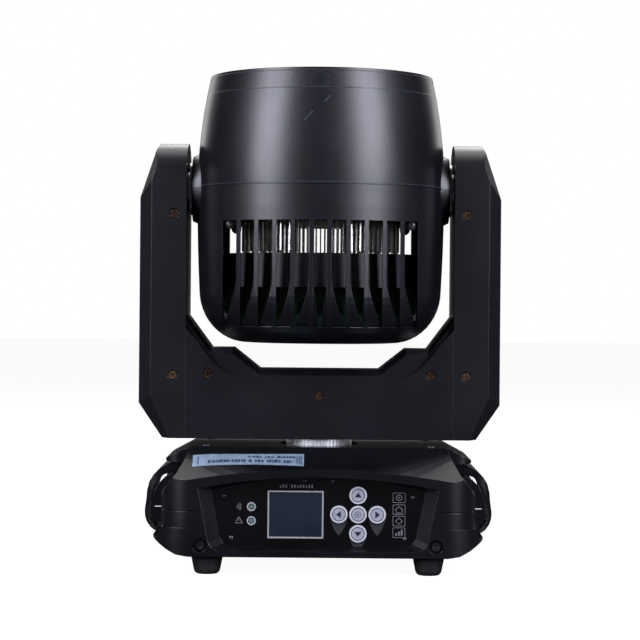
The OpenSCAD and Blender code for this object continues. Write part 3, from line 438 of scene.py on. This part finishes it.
class Marks:
    """Thin flat marks on a plane of constant Y, drawn in millimetres of X and Z."""

    def __init__(self, y, facing=-1.0, thick=0.08 * MM):
        self.bm = bmesh.new()
        self.levels = (y + facing * thick, y)

    def row(self, points, y):
        """Vertices of an outline at one depth."""
        return [self.bm.verts.new((x * MM, y, z * MM)) for x, z in points]

    def polygon(self, points):
        front, back = (self.row(points, y) for y in self.levels)
        self.bm.faces.new(front)
        self.bm.faces.new(back[::-1])
        for i in range(len(points)):
            j = (i + 1) % len(points)
            self.bm.faces.new((front[i], back[i], back[j], front[j]))

    def box(self, x0, z0, x1, z1):
        self.polygon([(x0, z0), (x1, z0), (x1, z1), (x0, z1)])

    def line(self, a, b, width):
        """A straight stroke with square ends."""
        along = (Vector(b) - Vector(a)).normalized() * width / 2
        side = Vector((-along.y, along.x))
        self.polygon([tuple(Vector(p) + s * side) for p, s in ((a, 1), (a, -1), (b, -1), (b, 1))])

    def band(self, inner, outer, closed=True):
        """A strip between two outlines with the same number of points."""
        fi, fo, bi, bo = (self.row(line, y) for y in self.levels for line in (inner, outer))
        count = len(inner)
        for i in range(count if closed else count - 1):
            j = (i + 1) % count
            for a, b in ((fi, fo), (fo, bo), (bo, bi), (bi, fi)):
                self.bm.faces.new((a[i], a[j], b[j], b[i]))
        if not closed:
            for i in (0, count - 1):
                self.bm.faces.new((fi[i], fo[i], bo[i], bi[i]))

    def ring(self, x, z, inner, outer, start=0.0, turn=360.0, steps=40):
        """A ring, or a part of one that starts at an angle and turns left."""
        closed = turn >= 360.0
        angles = [math.radians(start + turn * i / steps) for i in range(steps + (0 if closed else 1))]
        lines = [[(x + r * math.cos(a), z + r * math.sin(a)) for a in angles] for r in (inner, outer)]
        self.band(*lines, closed=closed)

    def frame(self, x, z, width, height, line, radius=0.0):
        """Outline of a rectangle with chamfered corners, centred on a point."""
        def outline(grow):
            w, h, c = width / 2 + grow, height / 2 + grow, max(0.01, radius + grow * 0.4)
            return [(x + a, z + b) for a, b in ((-w, c - h), (c - w, -h), (w - c, -h), (w, c - h),
                                                (w, h - c), (w - c, h), (c - w, h), (-w, h - c))]
        self.band(outline(-line), outline(0.0))


class Surface:
    """Finds points on CAD nodes along straight rays."""

    def __init__(self, *nodes):
        bm = bmesh.new()
        for node in nodes:
            thing = frame["nodes"][node]
            before = len(bm.verts)
            bm.from_mesh(thing.data)
            bm.verts.ensure_lookup_table()
            bmesh.ops.transform(bm, matrix=thing.matrix_world, verts=bm.verts[before:])
        self.tree = BVHTree.FromBMesh(bm)
        bm.free()

    def hit(self, start, direction):
        """First point on the surface along a ray, and its normal."""
        place, normal, _, _ = self.tree.ray_cast(Vector(start), Vector(direction))
        return place, normal

    def drape(self, bm, corners, direction, lift, across=1, along=1):
        """A thin patch that lies on the surface. Corners: low left, low right, high right, high left."""
        low_left, low_right, high_right, high_left = (Vector(c) * MM for c in corners)
        grid = []
        for j in range(along + 1):
            v = j / along
            row = []
            for i in range(across + 1):
                u = i / across
                start = low_left.lerp(low_right, u).lerp(high_left.lerp(high_right, u), v)
                place, normal = self.hit(start, direction)
                row.append((bm.verts.new(place + normal * lift), bm.verts.new(place)))
            grid.append(row)
        for level in (0, 1):
            for j in range(along):
                for i in range(across):
                    bm.faces.new((grid[j][i][level], grid[j][i + 1][level],
                                  grid[j + 1][i + 1][level], grid[j + 1][i][level]))
        right_side = [row[-1] for row in grid[1:]]
        left_side = [row[0] for row in grid[-2:0:-1]]
        border = grid[0] + right_side + grid[-1][-2::-1] + left_side
        for a, b in zip(border, border[1:] + border[:1]):
            bm.faces.new((a[0], b[0], b[1], a[1]))


def lathe(bm, profile, place=(0.0, 0.0, 0.0), turn=Matrix.Identity(3), steps=72):
    """Adds a closed profile of radius and height, in millimetres, turned about an axis."""
    rows = []
    for i in range(steps):
        angle = 2 * math.pi * i / steps
        points = [Vector((r * math.cos(angle), r * math.sin(angle), h)) for r, h in profile]
        rows.append([bm.verts.new(turn @ point * MM + Vector(place) * MM) for point in points])
    for i in range(steps):
        a, b = rows[i], rows[(i + 1) % steps]
        for j in range(len(profile)):
            k = (j + 1) % len(profile)
            bm.faces.new((a[j], b[j], b[k], a[k]))


FACE_FRONT = Matrix.Rotation(math.radians(90), 3, "X")
FACE_BACK = Matrix.Rotation(math.radians(-90), 3, "X")
FACE_RIGHT = Matrix.Rotation(math.radians(90), 3, "Y")
FACE_LEFT = Matrix.Rotation(math.radians(-90), 3, "Y")


def middle_of(node):
    """Centre of a CAD node's box in X and Z, in millimetres."""
    low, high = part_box(node)
    return (low[0] + high[0]) / 2 / MM, (low[2] + high[2]) / 2 / MM


def screw_head(bm, place, turn, radius=2.6, height=1.2):
    """Domed screw head with a small round recess."""
    lathe(bm, [(0.6, 0.0), (radius, 0.0), (radius, height * 0.45), (radius * 0.75, height * 0.9),
               (radius * 0.3, height), (0.6, height * 0.5)], place, turn, 20)


def key_marks():
    """Arrows on the four outer keys and a plain dot in a ring on the middle one."""
    arrow = [(0.0, 2.2), (-2.75, -1.5), (2.75, -1.5)]
    for side, degrees in (("up", 0), ("left", 90), ("down", 180), ("right", 270)):
        node = "button_" + side
        x, z = middle_of(node)
        marks = Marks(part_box(node)[0][1])
        cos, sin = math.cos(math.radians(degrees)), math.sin(math.radians(degrees))
        marks.polygon([(x + a * cos - b * sin, z + a * sin + b * cos) for a, b in arrow])
        piece("arrow_" + side, marks.bm, DARK_INK_AND_VENT_SHADE, node)
    x, z = middle_of("button_ok")
    marks = Marks(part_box("button_ok")[0][1])
    marks.ring(x, z, 1.9, 2.5)
    marks.ring(x, z, 0.05, 0.9, steps=24)
    piece("mark_centre_key", marks.bm, KEY_INK, "button_ok")


def lamp_marks(pale, bright):
    """Rings round the lamps, with a radio wave and a warning triangle beside them."""
    x = middle_of("status_leds")[0]
    signal_z, fault_z = 53.0, 42.0
    for z in (signal_z, fault_z):
        bright.ring(x, z, 2.45, 3.5)
    for r in (1.6, 3.0, 4.4):
        pale.ring(x - 12.5, signal_z, r - 0.28, r + 0.28, -42.0, 84.0, 10)
    sign_x, line = x - 9.7, 0.55
    corners = [(sign_x - 2.9, fault_z - 1.8), (sign_x + 2.9, fault_z - 1.8), (sign_x, fault_z + 3.0)]
    for a, b in zip(corners, corners[1:] + corners[:1]):
        pale.line(a, b, line)
    pale.line((sign_x, fault_z + 1.4), (sign_x, fault_z - 0.1), line)


def display_caption(pale):
    """Row of bars above the display, with a gap after the third."""
    left = middle_of("lcd_module")[0] - 12.5
    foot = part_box("lcd_module")[1][2] / MM + 2.4
    for i in range(12):
        if i != 3:
            tall = 2.4 if i % 3 else 1.6
            x = left + i * 2.25
            pale.box(x, foot, x + 1.1, foot + tall)


def pictogram_boxes(pale):
    """Four boxes above each other: a ring with a dot, a house, a diamond and three rising bars."""
    x, rows = 63.3, (60.9, 51.6, 42.6, 33.6)
    for z in rows:
        pale.frame(x, z, 9.9, 8.0, 0.45, 0.5)
    ring_z, house_z, diamond_z, bars_z = rows
    pale.ring(x, ring_z, 1.9, 2.5)
    pale.ring(x, ring_z, 0.05, 0.7, steps=16)
    for a, b in (((-3.2, -0.2), (0.0, 2.4)), ((0.0, 2.4), (3.2, -0.2)), ((-2.3, 0.2), (-2.3, -2.6)),
                 ((2.3, 0.2), (2.3, -2.6)), ((-2.6, -2.6), (2.6, -2.6))):
        pale.line((x + a[0], house_z + a[1]), (x + b[0], house_z + b[1]), 0.55)
    tip = 2.6
    diamond = [(x + tip, diamond_z), (x, diamond_z + tip), (x - tip, diamond_z), (x, diamond_z - tip)]
    for a, b in zip(diamond, diamond[1:] + diamond[:1]):
        pale.line(a, b, 0.55)
    foot = bars_z - 2.3
    for i, tall in enumerate((1.8, 3.2, 4.6)):
        left = x - 2.9 + 2.2 * i
        pale.box(left, foot, left + 1.4, foot + tall)


def paint_key_reflections(reflection_marks):
    """Painted reflections of three keys: grey lobes that hang below them on the glossy fascia."""
    inner_r, outer_r = 7.35, 7.4
    turns = [math.pi * i / 24 for i in range(1, 24)]
    for side, depth in (("left", 16.5), ("right", 16.5), ("down", 13.0)):
        x, z = middle_of("button_" + side)
        inner, outer = [], []
        for t in turns:
            across = x - inner_r * math.cos(t)
            drop = (depth - outer_r) * (1 - abs(math.cos(t)) ** 1.2)
            inner.append((across, z - inner_r * math.sin(t)))
            outer.append((across, z - outer_r * math.sin(t) - drop))
        reflection_marks.band(inner, outer, closed=False)


def fascia_marks():
    """Everything printed on the control panel, the painted reflections below three keys, and its small
    screws.
    """
    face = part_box("control_fascia")[0][1]
    pale, bright, reflection_marks = Marks(face), Marks(face), Marks(face, thick=0.05 * MM)
    lamp_marks(pale, bright)
    display_caption(pale)
    pictogram_boxes(pale)
    # Painted reflections: grey lobes below three keys stand in for the keys' reflections.
    paint_key_reflections(reflection_marks)
    piece("print_pale", pale.bm, PALE_INK, "base")
    piece("print_lamp_rings", bright.bm, BRIGHT_INK, "base")
    piece("painted_key_reflections", reflection_marks.bm, KEY_REFLECTION_PAINT, "base")
    screws = bmesh.new()
    for half_gap, z in ((74.0, 61.0), (68.0, 28.5), (11.0, 73.5)):
        for side in (-1, 1):
            screw_head(screws, (side * half_gap, face / MM, z), FACE_FRONT, 1.5, 0.6)
    piece("fascia_screws", screws, DARK_STEEL, "base")


def cover_label():
    """Pale blue label on the left of the front slope, with rows of plain dark marks."""
    slope = Surface("base_cover")
    down = (0.0, 0.0, -1.0)
    above = 150.0
    film_lift, print_lift = 0.16 * MM, 0.26 * MM
    front_left, front_right = Vector((-99.0, -73.5)), Vector((-11.5, -79.5))
    back_left, back_right = Vector((-99.0, -62.5)), Vector((-11.5, -61.0))

    def spot(u, v):
        """Place over the label: u runs to the right and v runs back."""
        front = front_left.lerp(front_right, u)
        return *front.lerp(back_left.lerp(back_right, u), v), above

    def patch(bm, u0, u1, v0, v1, lift, across):
        slope.drape(bm, (spot(u0, v0), spot(u1, v0), spot(u1, v1), spot(u0, v1)), down, lift, across, 4)

    film = bmesh.new()
    patch(film, 0.0, 1.0, 0.0, 1.0, film_lift, 36)
    piece("label_film", film, LABEL, "base")
    chance = random.Random(7)
    marks = bmesh.new()
    for v0, v1, start in ((0.20, 0.46, 0.14), (0.62, 0.82, 0.50)):
        u = start
        while u < 0.90:
            width = chance.uniform(0.008, 0.030)
            patch(marks, u, u + width, v0, v1 - chance.uniform(0.0, 0.06), print_lift, 1)
            u += width + chance.choice((0.006, 0.008, 0.010, 0.030))
    for u in (0.045, 0.935, 0.955, 0.972):
        patch(marks, u, u + 0.008, 0.15, 0.80, print_lift, 1)
    piece("label_marks", marks, BLUE_INK, "base")


def seam_and_rim(shell, seam):
    """Raised bead just above the head's seam, and two faint raised lines near its rim, in a paler plastic
    that partly paints their highlight.
    """
    def radius_at(rel):
        place, _ = shell.hit((0.0, -0.2, (seam + rel) * MM), (0.0, 1.0, 0.0))
        return -place.y / MM

    bead = bmesh.new()
    edge = radius_at(1.5)
    lathe(bead, [(edge - 0.2, 0.8), (edge + 0.22, 0.95), (edge + 0.27, 1.25), (edge + 0.2, 1.6),
                 (edge - 0.4, 2.1)], (0, 0, seam), steps=144)
    piece("seam_bead", bead, EDGE_BEAD, "head")
    rim = bmesh.new()
    for rel, proud in ((75.0, 0.16), (88.6, 0.22)):
        r = radius_at(rel)
        lathe(rim, [(r - 0.3, -0.7), (r + proud, -0.25), (r + proud, 0.25), (r - 0.3, 0.7)],
              (0, 0, seam + rel), steps=144)
    piece("rim_lines", rim, EDGE_BEAD, "head")


def shell_marks(shell, seam):
    """Round moulding mark near the rim and two slanted scuffs, laid on the front of the shell."""
    before, back = -130.0, (0.0, 1.0, 0.0)
    mark = bmesh.new()
    mark_x, mark_z = -1.5, seam + 81.0
    for r0, r1 in ((7.4, 8.1), (4.9, 5.3)):
        for i in range(36):
            a, b = (math.radians(10 * i), math.radians(10 * i + 10))
            corners = [(mark_x + r * math.cos(t), before, mark_z + 0.8 * r * math.sin(t))
                       for r, t in ((r0, a), (r1, a), (r1, b), (r0, b))]
            shell.drape(mark, corners, back, 0.04 * MM)
    piece("moulding_mark", mark, EDGE_BEAD, "head")

    scuffs = bmesh.new()
    for x, rel, tall in ((4.0, 66.0, 5.5), (-10.5, 52.5, 7.5)):
        lean, z = tall * 0.45, seam + rel
        for shift, width in ((0.0, 0.35), (0.9, 0.2)):
            left, right = x + shift, x + shift + width
            corners = [(left - lean, before, z - tall / 2), (right - lean, before, z - tall / 2),
                       (right + lean, before, z + tall / 2), (left + lean, before, z + tall / 2)]
            shell.drape(scuffs, corners, back, 0.03 * MM, 1, 6)
    piece("scuffs", scuffs, SCUFF, "head")


def head_screws(seam):
    """Bosses with screws inside the outer vents, and bolts on the hub flanges."""
    screws, bosses = bmesh.new(), bmesh.new()
    for side, turn in ((-1, FACE_FRONT), (1, FACE_BACK)):
        for x in (-71.5, 71.5):
            place = (x, side * 62.5, seam - 30.0)
            lathe(bosses, [(0.0, -6.0), (4.2, -6.0), (4.2, 0.0), (0.0, 0.0)], place, turn, 24)
            screw_head(screws, place, turn, 2.8, 1.4)
    piece("vent_bosses", bosses, LOOKS["trim_black_plastic"], "head")
    piece("vent_screws", screws, SMALL_STEEL, "head")

    bolts = bmesh.new()
    for side, turn in ((1, FACE_RIGHT), (-1, FACE_LEFT)):
        for y in (-9.5, 9.5):
            for rise in (-15.5, 15.5):
                screw_head(bolts, (side * 106.6, y, seam + rise), turn, 2.4, 1.1)
    piece("hub_bolts", bolts, DARK_STEEL, "head")


def head_details():
    """What is on the head's shells; heights are counted from the seam."""
    shell = Surface("head_front_shell")
    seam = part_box("head_rear_shell")[1][2] / MM
    seam_and_rim(shell, seam)
    shell_marks(shell, seam)
    head_screws(seam)


def circle_of_six(radius, first=0):
    """Six places on a circle of the lens plate, in millimetres of X and Y."""
    angles = [math.radians(first + 60 * i) for i in range(6)]
    return [(radius * math.cos(angle), radius * math.sin(angle)) for angle in angles]


def lens_details():
    """Retaining ring and reflector of each lens, and screws on the lens plate."""
    rings, screws, cones = bmesh.new(), bmesh.new(), bmesh.new()
    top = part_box("lens_carriage")[1][2] / MM
    for x, y in [(0.0, 0.0)] + circle_of_six(51.0):
        lathe(rings, [(23.7, 0.02), (25.6, 0.02), (25.6, 0.9), (25.0, 1.5), (24.0, 1.5), (23.7, 1.1)],
              (x, y, top), steps=48)
        lathe(cones, [(6.0, -37.0), (7.0, -37.0), (22.6, -5.6), (22.0, -5.4)], (x, y, top), steps=36)
    for x, y in circle_of_six(72.0, 30):
        screw_head(screws, (x, y, top + 0.02), Matrix.Identity(3), 2.2, 1.2)
    piece("lens_rings", rings, LOOKS["gloss_black_plastic"], "lens_carriage")
    piece("reflector_cones", cones, REFLECTOR, "lens_carriage")
    piece("lens_plate_screws", screws, DARK_STEEL, "lens_carriage")


def rear_panel_details():
    """Outlines, symbols, screws, and dark boxes that paint the shade of vents on the back of the base."""
    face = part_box("rear_panel")[1][1]
    pale, dark, screws = Marks(face, 1.0), Marks(face, 1.0, 0.1 * MM), bmesh.new()
    # Each socket's outline height, height of its arrow and the arrow's way: 1 into it, -1 out of it
    for node, height, arrow_z, up in (("mains_inlet", 30.0, 26.5, 1), ("mains_outlet", 30.0, 26.5, -1),
                                      ("dmx_in_socket", 34.5, 25.4, 1), ("dmx_out_socket", 34.5, 25.4, -1)):
        low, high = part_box(node)
        x, z = middle_of(node)
        pale.frame(x, z, (high[0] - low[0]) / MM + 2.4, height, 0.4, 1.5)
        pale.polygon([(x - 1.6, arrow_z - 0.9 * up), (x + 1.6, arrow_z - 0.9 * up), (x, arrow_z + 1.1 * up)])
    # Painted shade: six dark boxes stand in for vent slots, which have no openings.
    for i in range(6):
        x = -40.0 + 6.5 * i
        dark.box(x, 68.0, x + 3.0, 73.0)
    piece("rear_print", pale.bm, PALE_INK, "base")
    piece("rear_vent_painted_shade", dark.bm, DARK_INK_AND_VENT_SHADE, "base")
    for x, z in ((-73.0, 28.0), (73.0, 28.0), (-77.0, 64.0), (77.0, 64.0)):
        screw_head(screws, (x, face / MM, z), FACE_BACK, 2.4, 1.1)
    for node in ("dmx_in_socket", "dmx_out_socket"):
        x, z = middle_of(node)
        for s in (-1, 1):
            screw_head(screws, (x + s * 9.5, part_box(node)[1][1] / MM, z + s * 12.0), FACE_BACK, 2.4, 0.8)
    piece("rear_screws", screws, SMALL_STEEL, "base")


key_marks()
fascia_marks()
cover_label()
head_details()
lens_details()
rear_panel_details()


# --------------------------------------------------------------- camera, light

def is_camera_ray(tree):
    """1 for what the camera sees directly, and 0 for light and reflections."""
    return tree.nodes.new("ShaderNodeLightPath").outputs["Is Camera Ray"]


def pale_floor():
    """Large flat floor: near white to the camera, and dim to the object so that its black stays deep."""
    half = 9.0
    corners = [(-half, -half, 0.0), (half, -half, 0.0), (half, half, 0.0), (-half, half, 0.0)]
    mesh = bpy.data.meshes.new("floor")
    mesh.from_pydata(corners, [], [(0, 1, 2, 3)])
    floor = bpy.data.objects.new("floor", mesh)
    bpy.context.collection.objects.link(floor)
    material = bpy.data.materials.new("floor_paper")
    material.use_nodes = True
    tree = material.node_tree
    tree.nodes.clear()
    dim, pale = (tree.nodes.new("ShaderNodeBsdfDiffuse") for _ in range(2))
    dim.inputs["Color"].default_value = (0.035, 0.035, 0.035, 1.0)
    pale.inputs["Color"].default_value = (0.92, 0.92, 0.92, 1.0)
    glow = tree.nodes.new("ShaderNodeEmission")
    glow.inputs["Strength"].default_value = 1.08
    seen, choice = (tree.nodes.new("ShaderNodeMixShader") for _ in range(2))
    seen.inputs["Fac"].default_value = 0.88
    tree.links.new(pale.outputs["BSDF"], seen.inputs[1])
    tree.links.new(glow.outputs["Emission"], seen.inputs[2])
    tree.links.new(is_camera_ray(tree), choice.inputs["Fac"])
    tree.links.new(dim.outputs["BSDF"], choice.inputs[1])
    tree.links.new(seen.outputs["Shader"], choice.inputs[2])
    output = tree.nodes.new("ShaderNodeOutputMaterial")
    tree.links.new(choice.outputs["Shader"], output.inputs["Surface"])
    mesh.materials.append(material)


def soft_light(name, place, target, size, power, colour=(1.0, 1.0, 1.0)):
    """Rectangular softbox aimed at a point."""
    data = bpy.data.lights.new(name, "AREA")
    data.shape = "RECTANGLE"
    data.size, data.size_y = size
    data.energy = power
    data.color = colour
    light = bpy.data.objects.new(name, data)
    light.location = place
    light.rotation_euler = (Vector(target) - Vector(place)).to_track_quat("-Z", "Y").to_euler()
    bpy.context.collection.objects.link(light)


def place_camera():
    """Level view of the control panel side, with the slight roll and offset of a hand-set tripod."""
    distance, height, roll = 1.640, 0.215, math.radians(0.5)
    data = bpy.data.cameras.new("camera")
    data.lens = 112.5
    data.shift_y = -0.031
    camera = bpy.data.objects.new("camera", data)
    level = Matrix.Rotation(math.radians(90), 4, "X")
    camera.matrix_world = Matrix.Translation((0.0, -distance, height)) @ level @ Matrix.Rotation(roll, 4, "Z")
    bpy.context.collection.objects.link(camera)
    bpy.context.scene.camera = camera


def light_stage():
    """White surroundings for the camera, dim ones for the object, and softboxes all round it."""
    world = bpy.data.worlds.new("studio")
    world.use_nodes = True
    tree = world.node_tree
    strength = tree.nodes.new("ShaderNodeMapRange")
    strength.inputs["To Min"].default_value = 0.045
    strength.inputs["To Max"].default_value = 1.0
    tree.links.new(is_camera_ray(tree), strength.inputs["Value"])
    tree.nodes["Background"].inputs["Color"].default_value = (1.0, 1.0, 1.0, 1.0)
    tree.links.new(strength.outputs["Result"], tree.nodes["Background"].inputs["Strength"])
    bpy.context.scene.world = world
    middle = (0.0, 0.0, 0.24)
    cool = (0.97, 0.98, 1.13)
    soft_light("softbox_left", (-1.34, -1.11, 1.00), middle, (0.84, 1.5), 49.0, cool)
    soft_light("softbox_right", (1.27, -1.19, 1.00), middle, (0.84, 1.5), 51.0, cool)
    soft_light("overhead", (0.0, 0.5, 1.9), middle, (1.7, 0.9), 11.0)
    soft_light("softbox_back", (0.0, 1.7, 1.75), middle, (2.0, 1.0), 32.0)
    soft_light("rear_left", (-1.0, 1.65, 0.7), middle, (0.6, 1.4), 6.0)
    soft_light("rear_right", (1.0, 1.65, 0.7), middle, (0.6, 1.4), 6.0)
    bpy.context.scene.view_settings.view_transform = "Standard"


pale_floor()
place_camera()
light_stage()
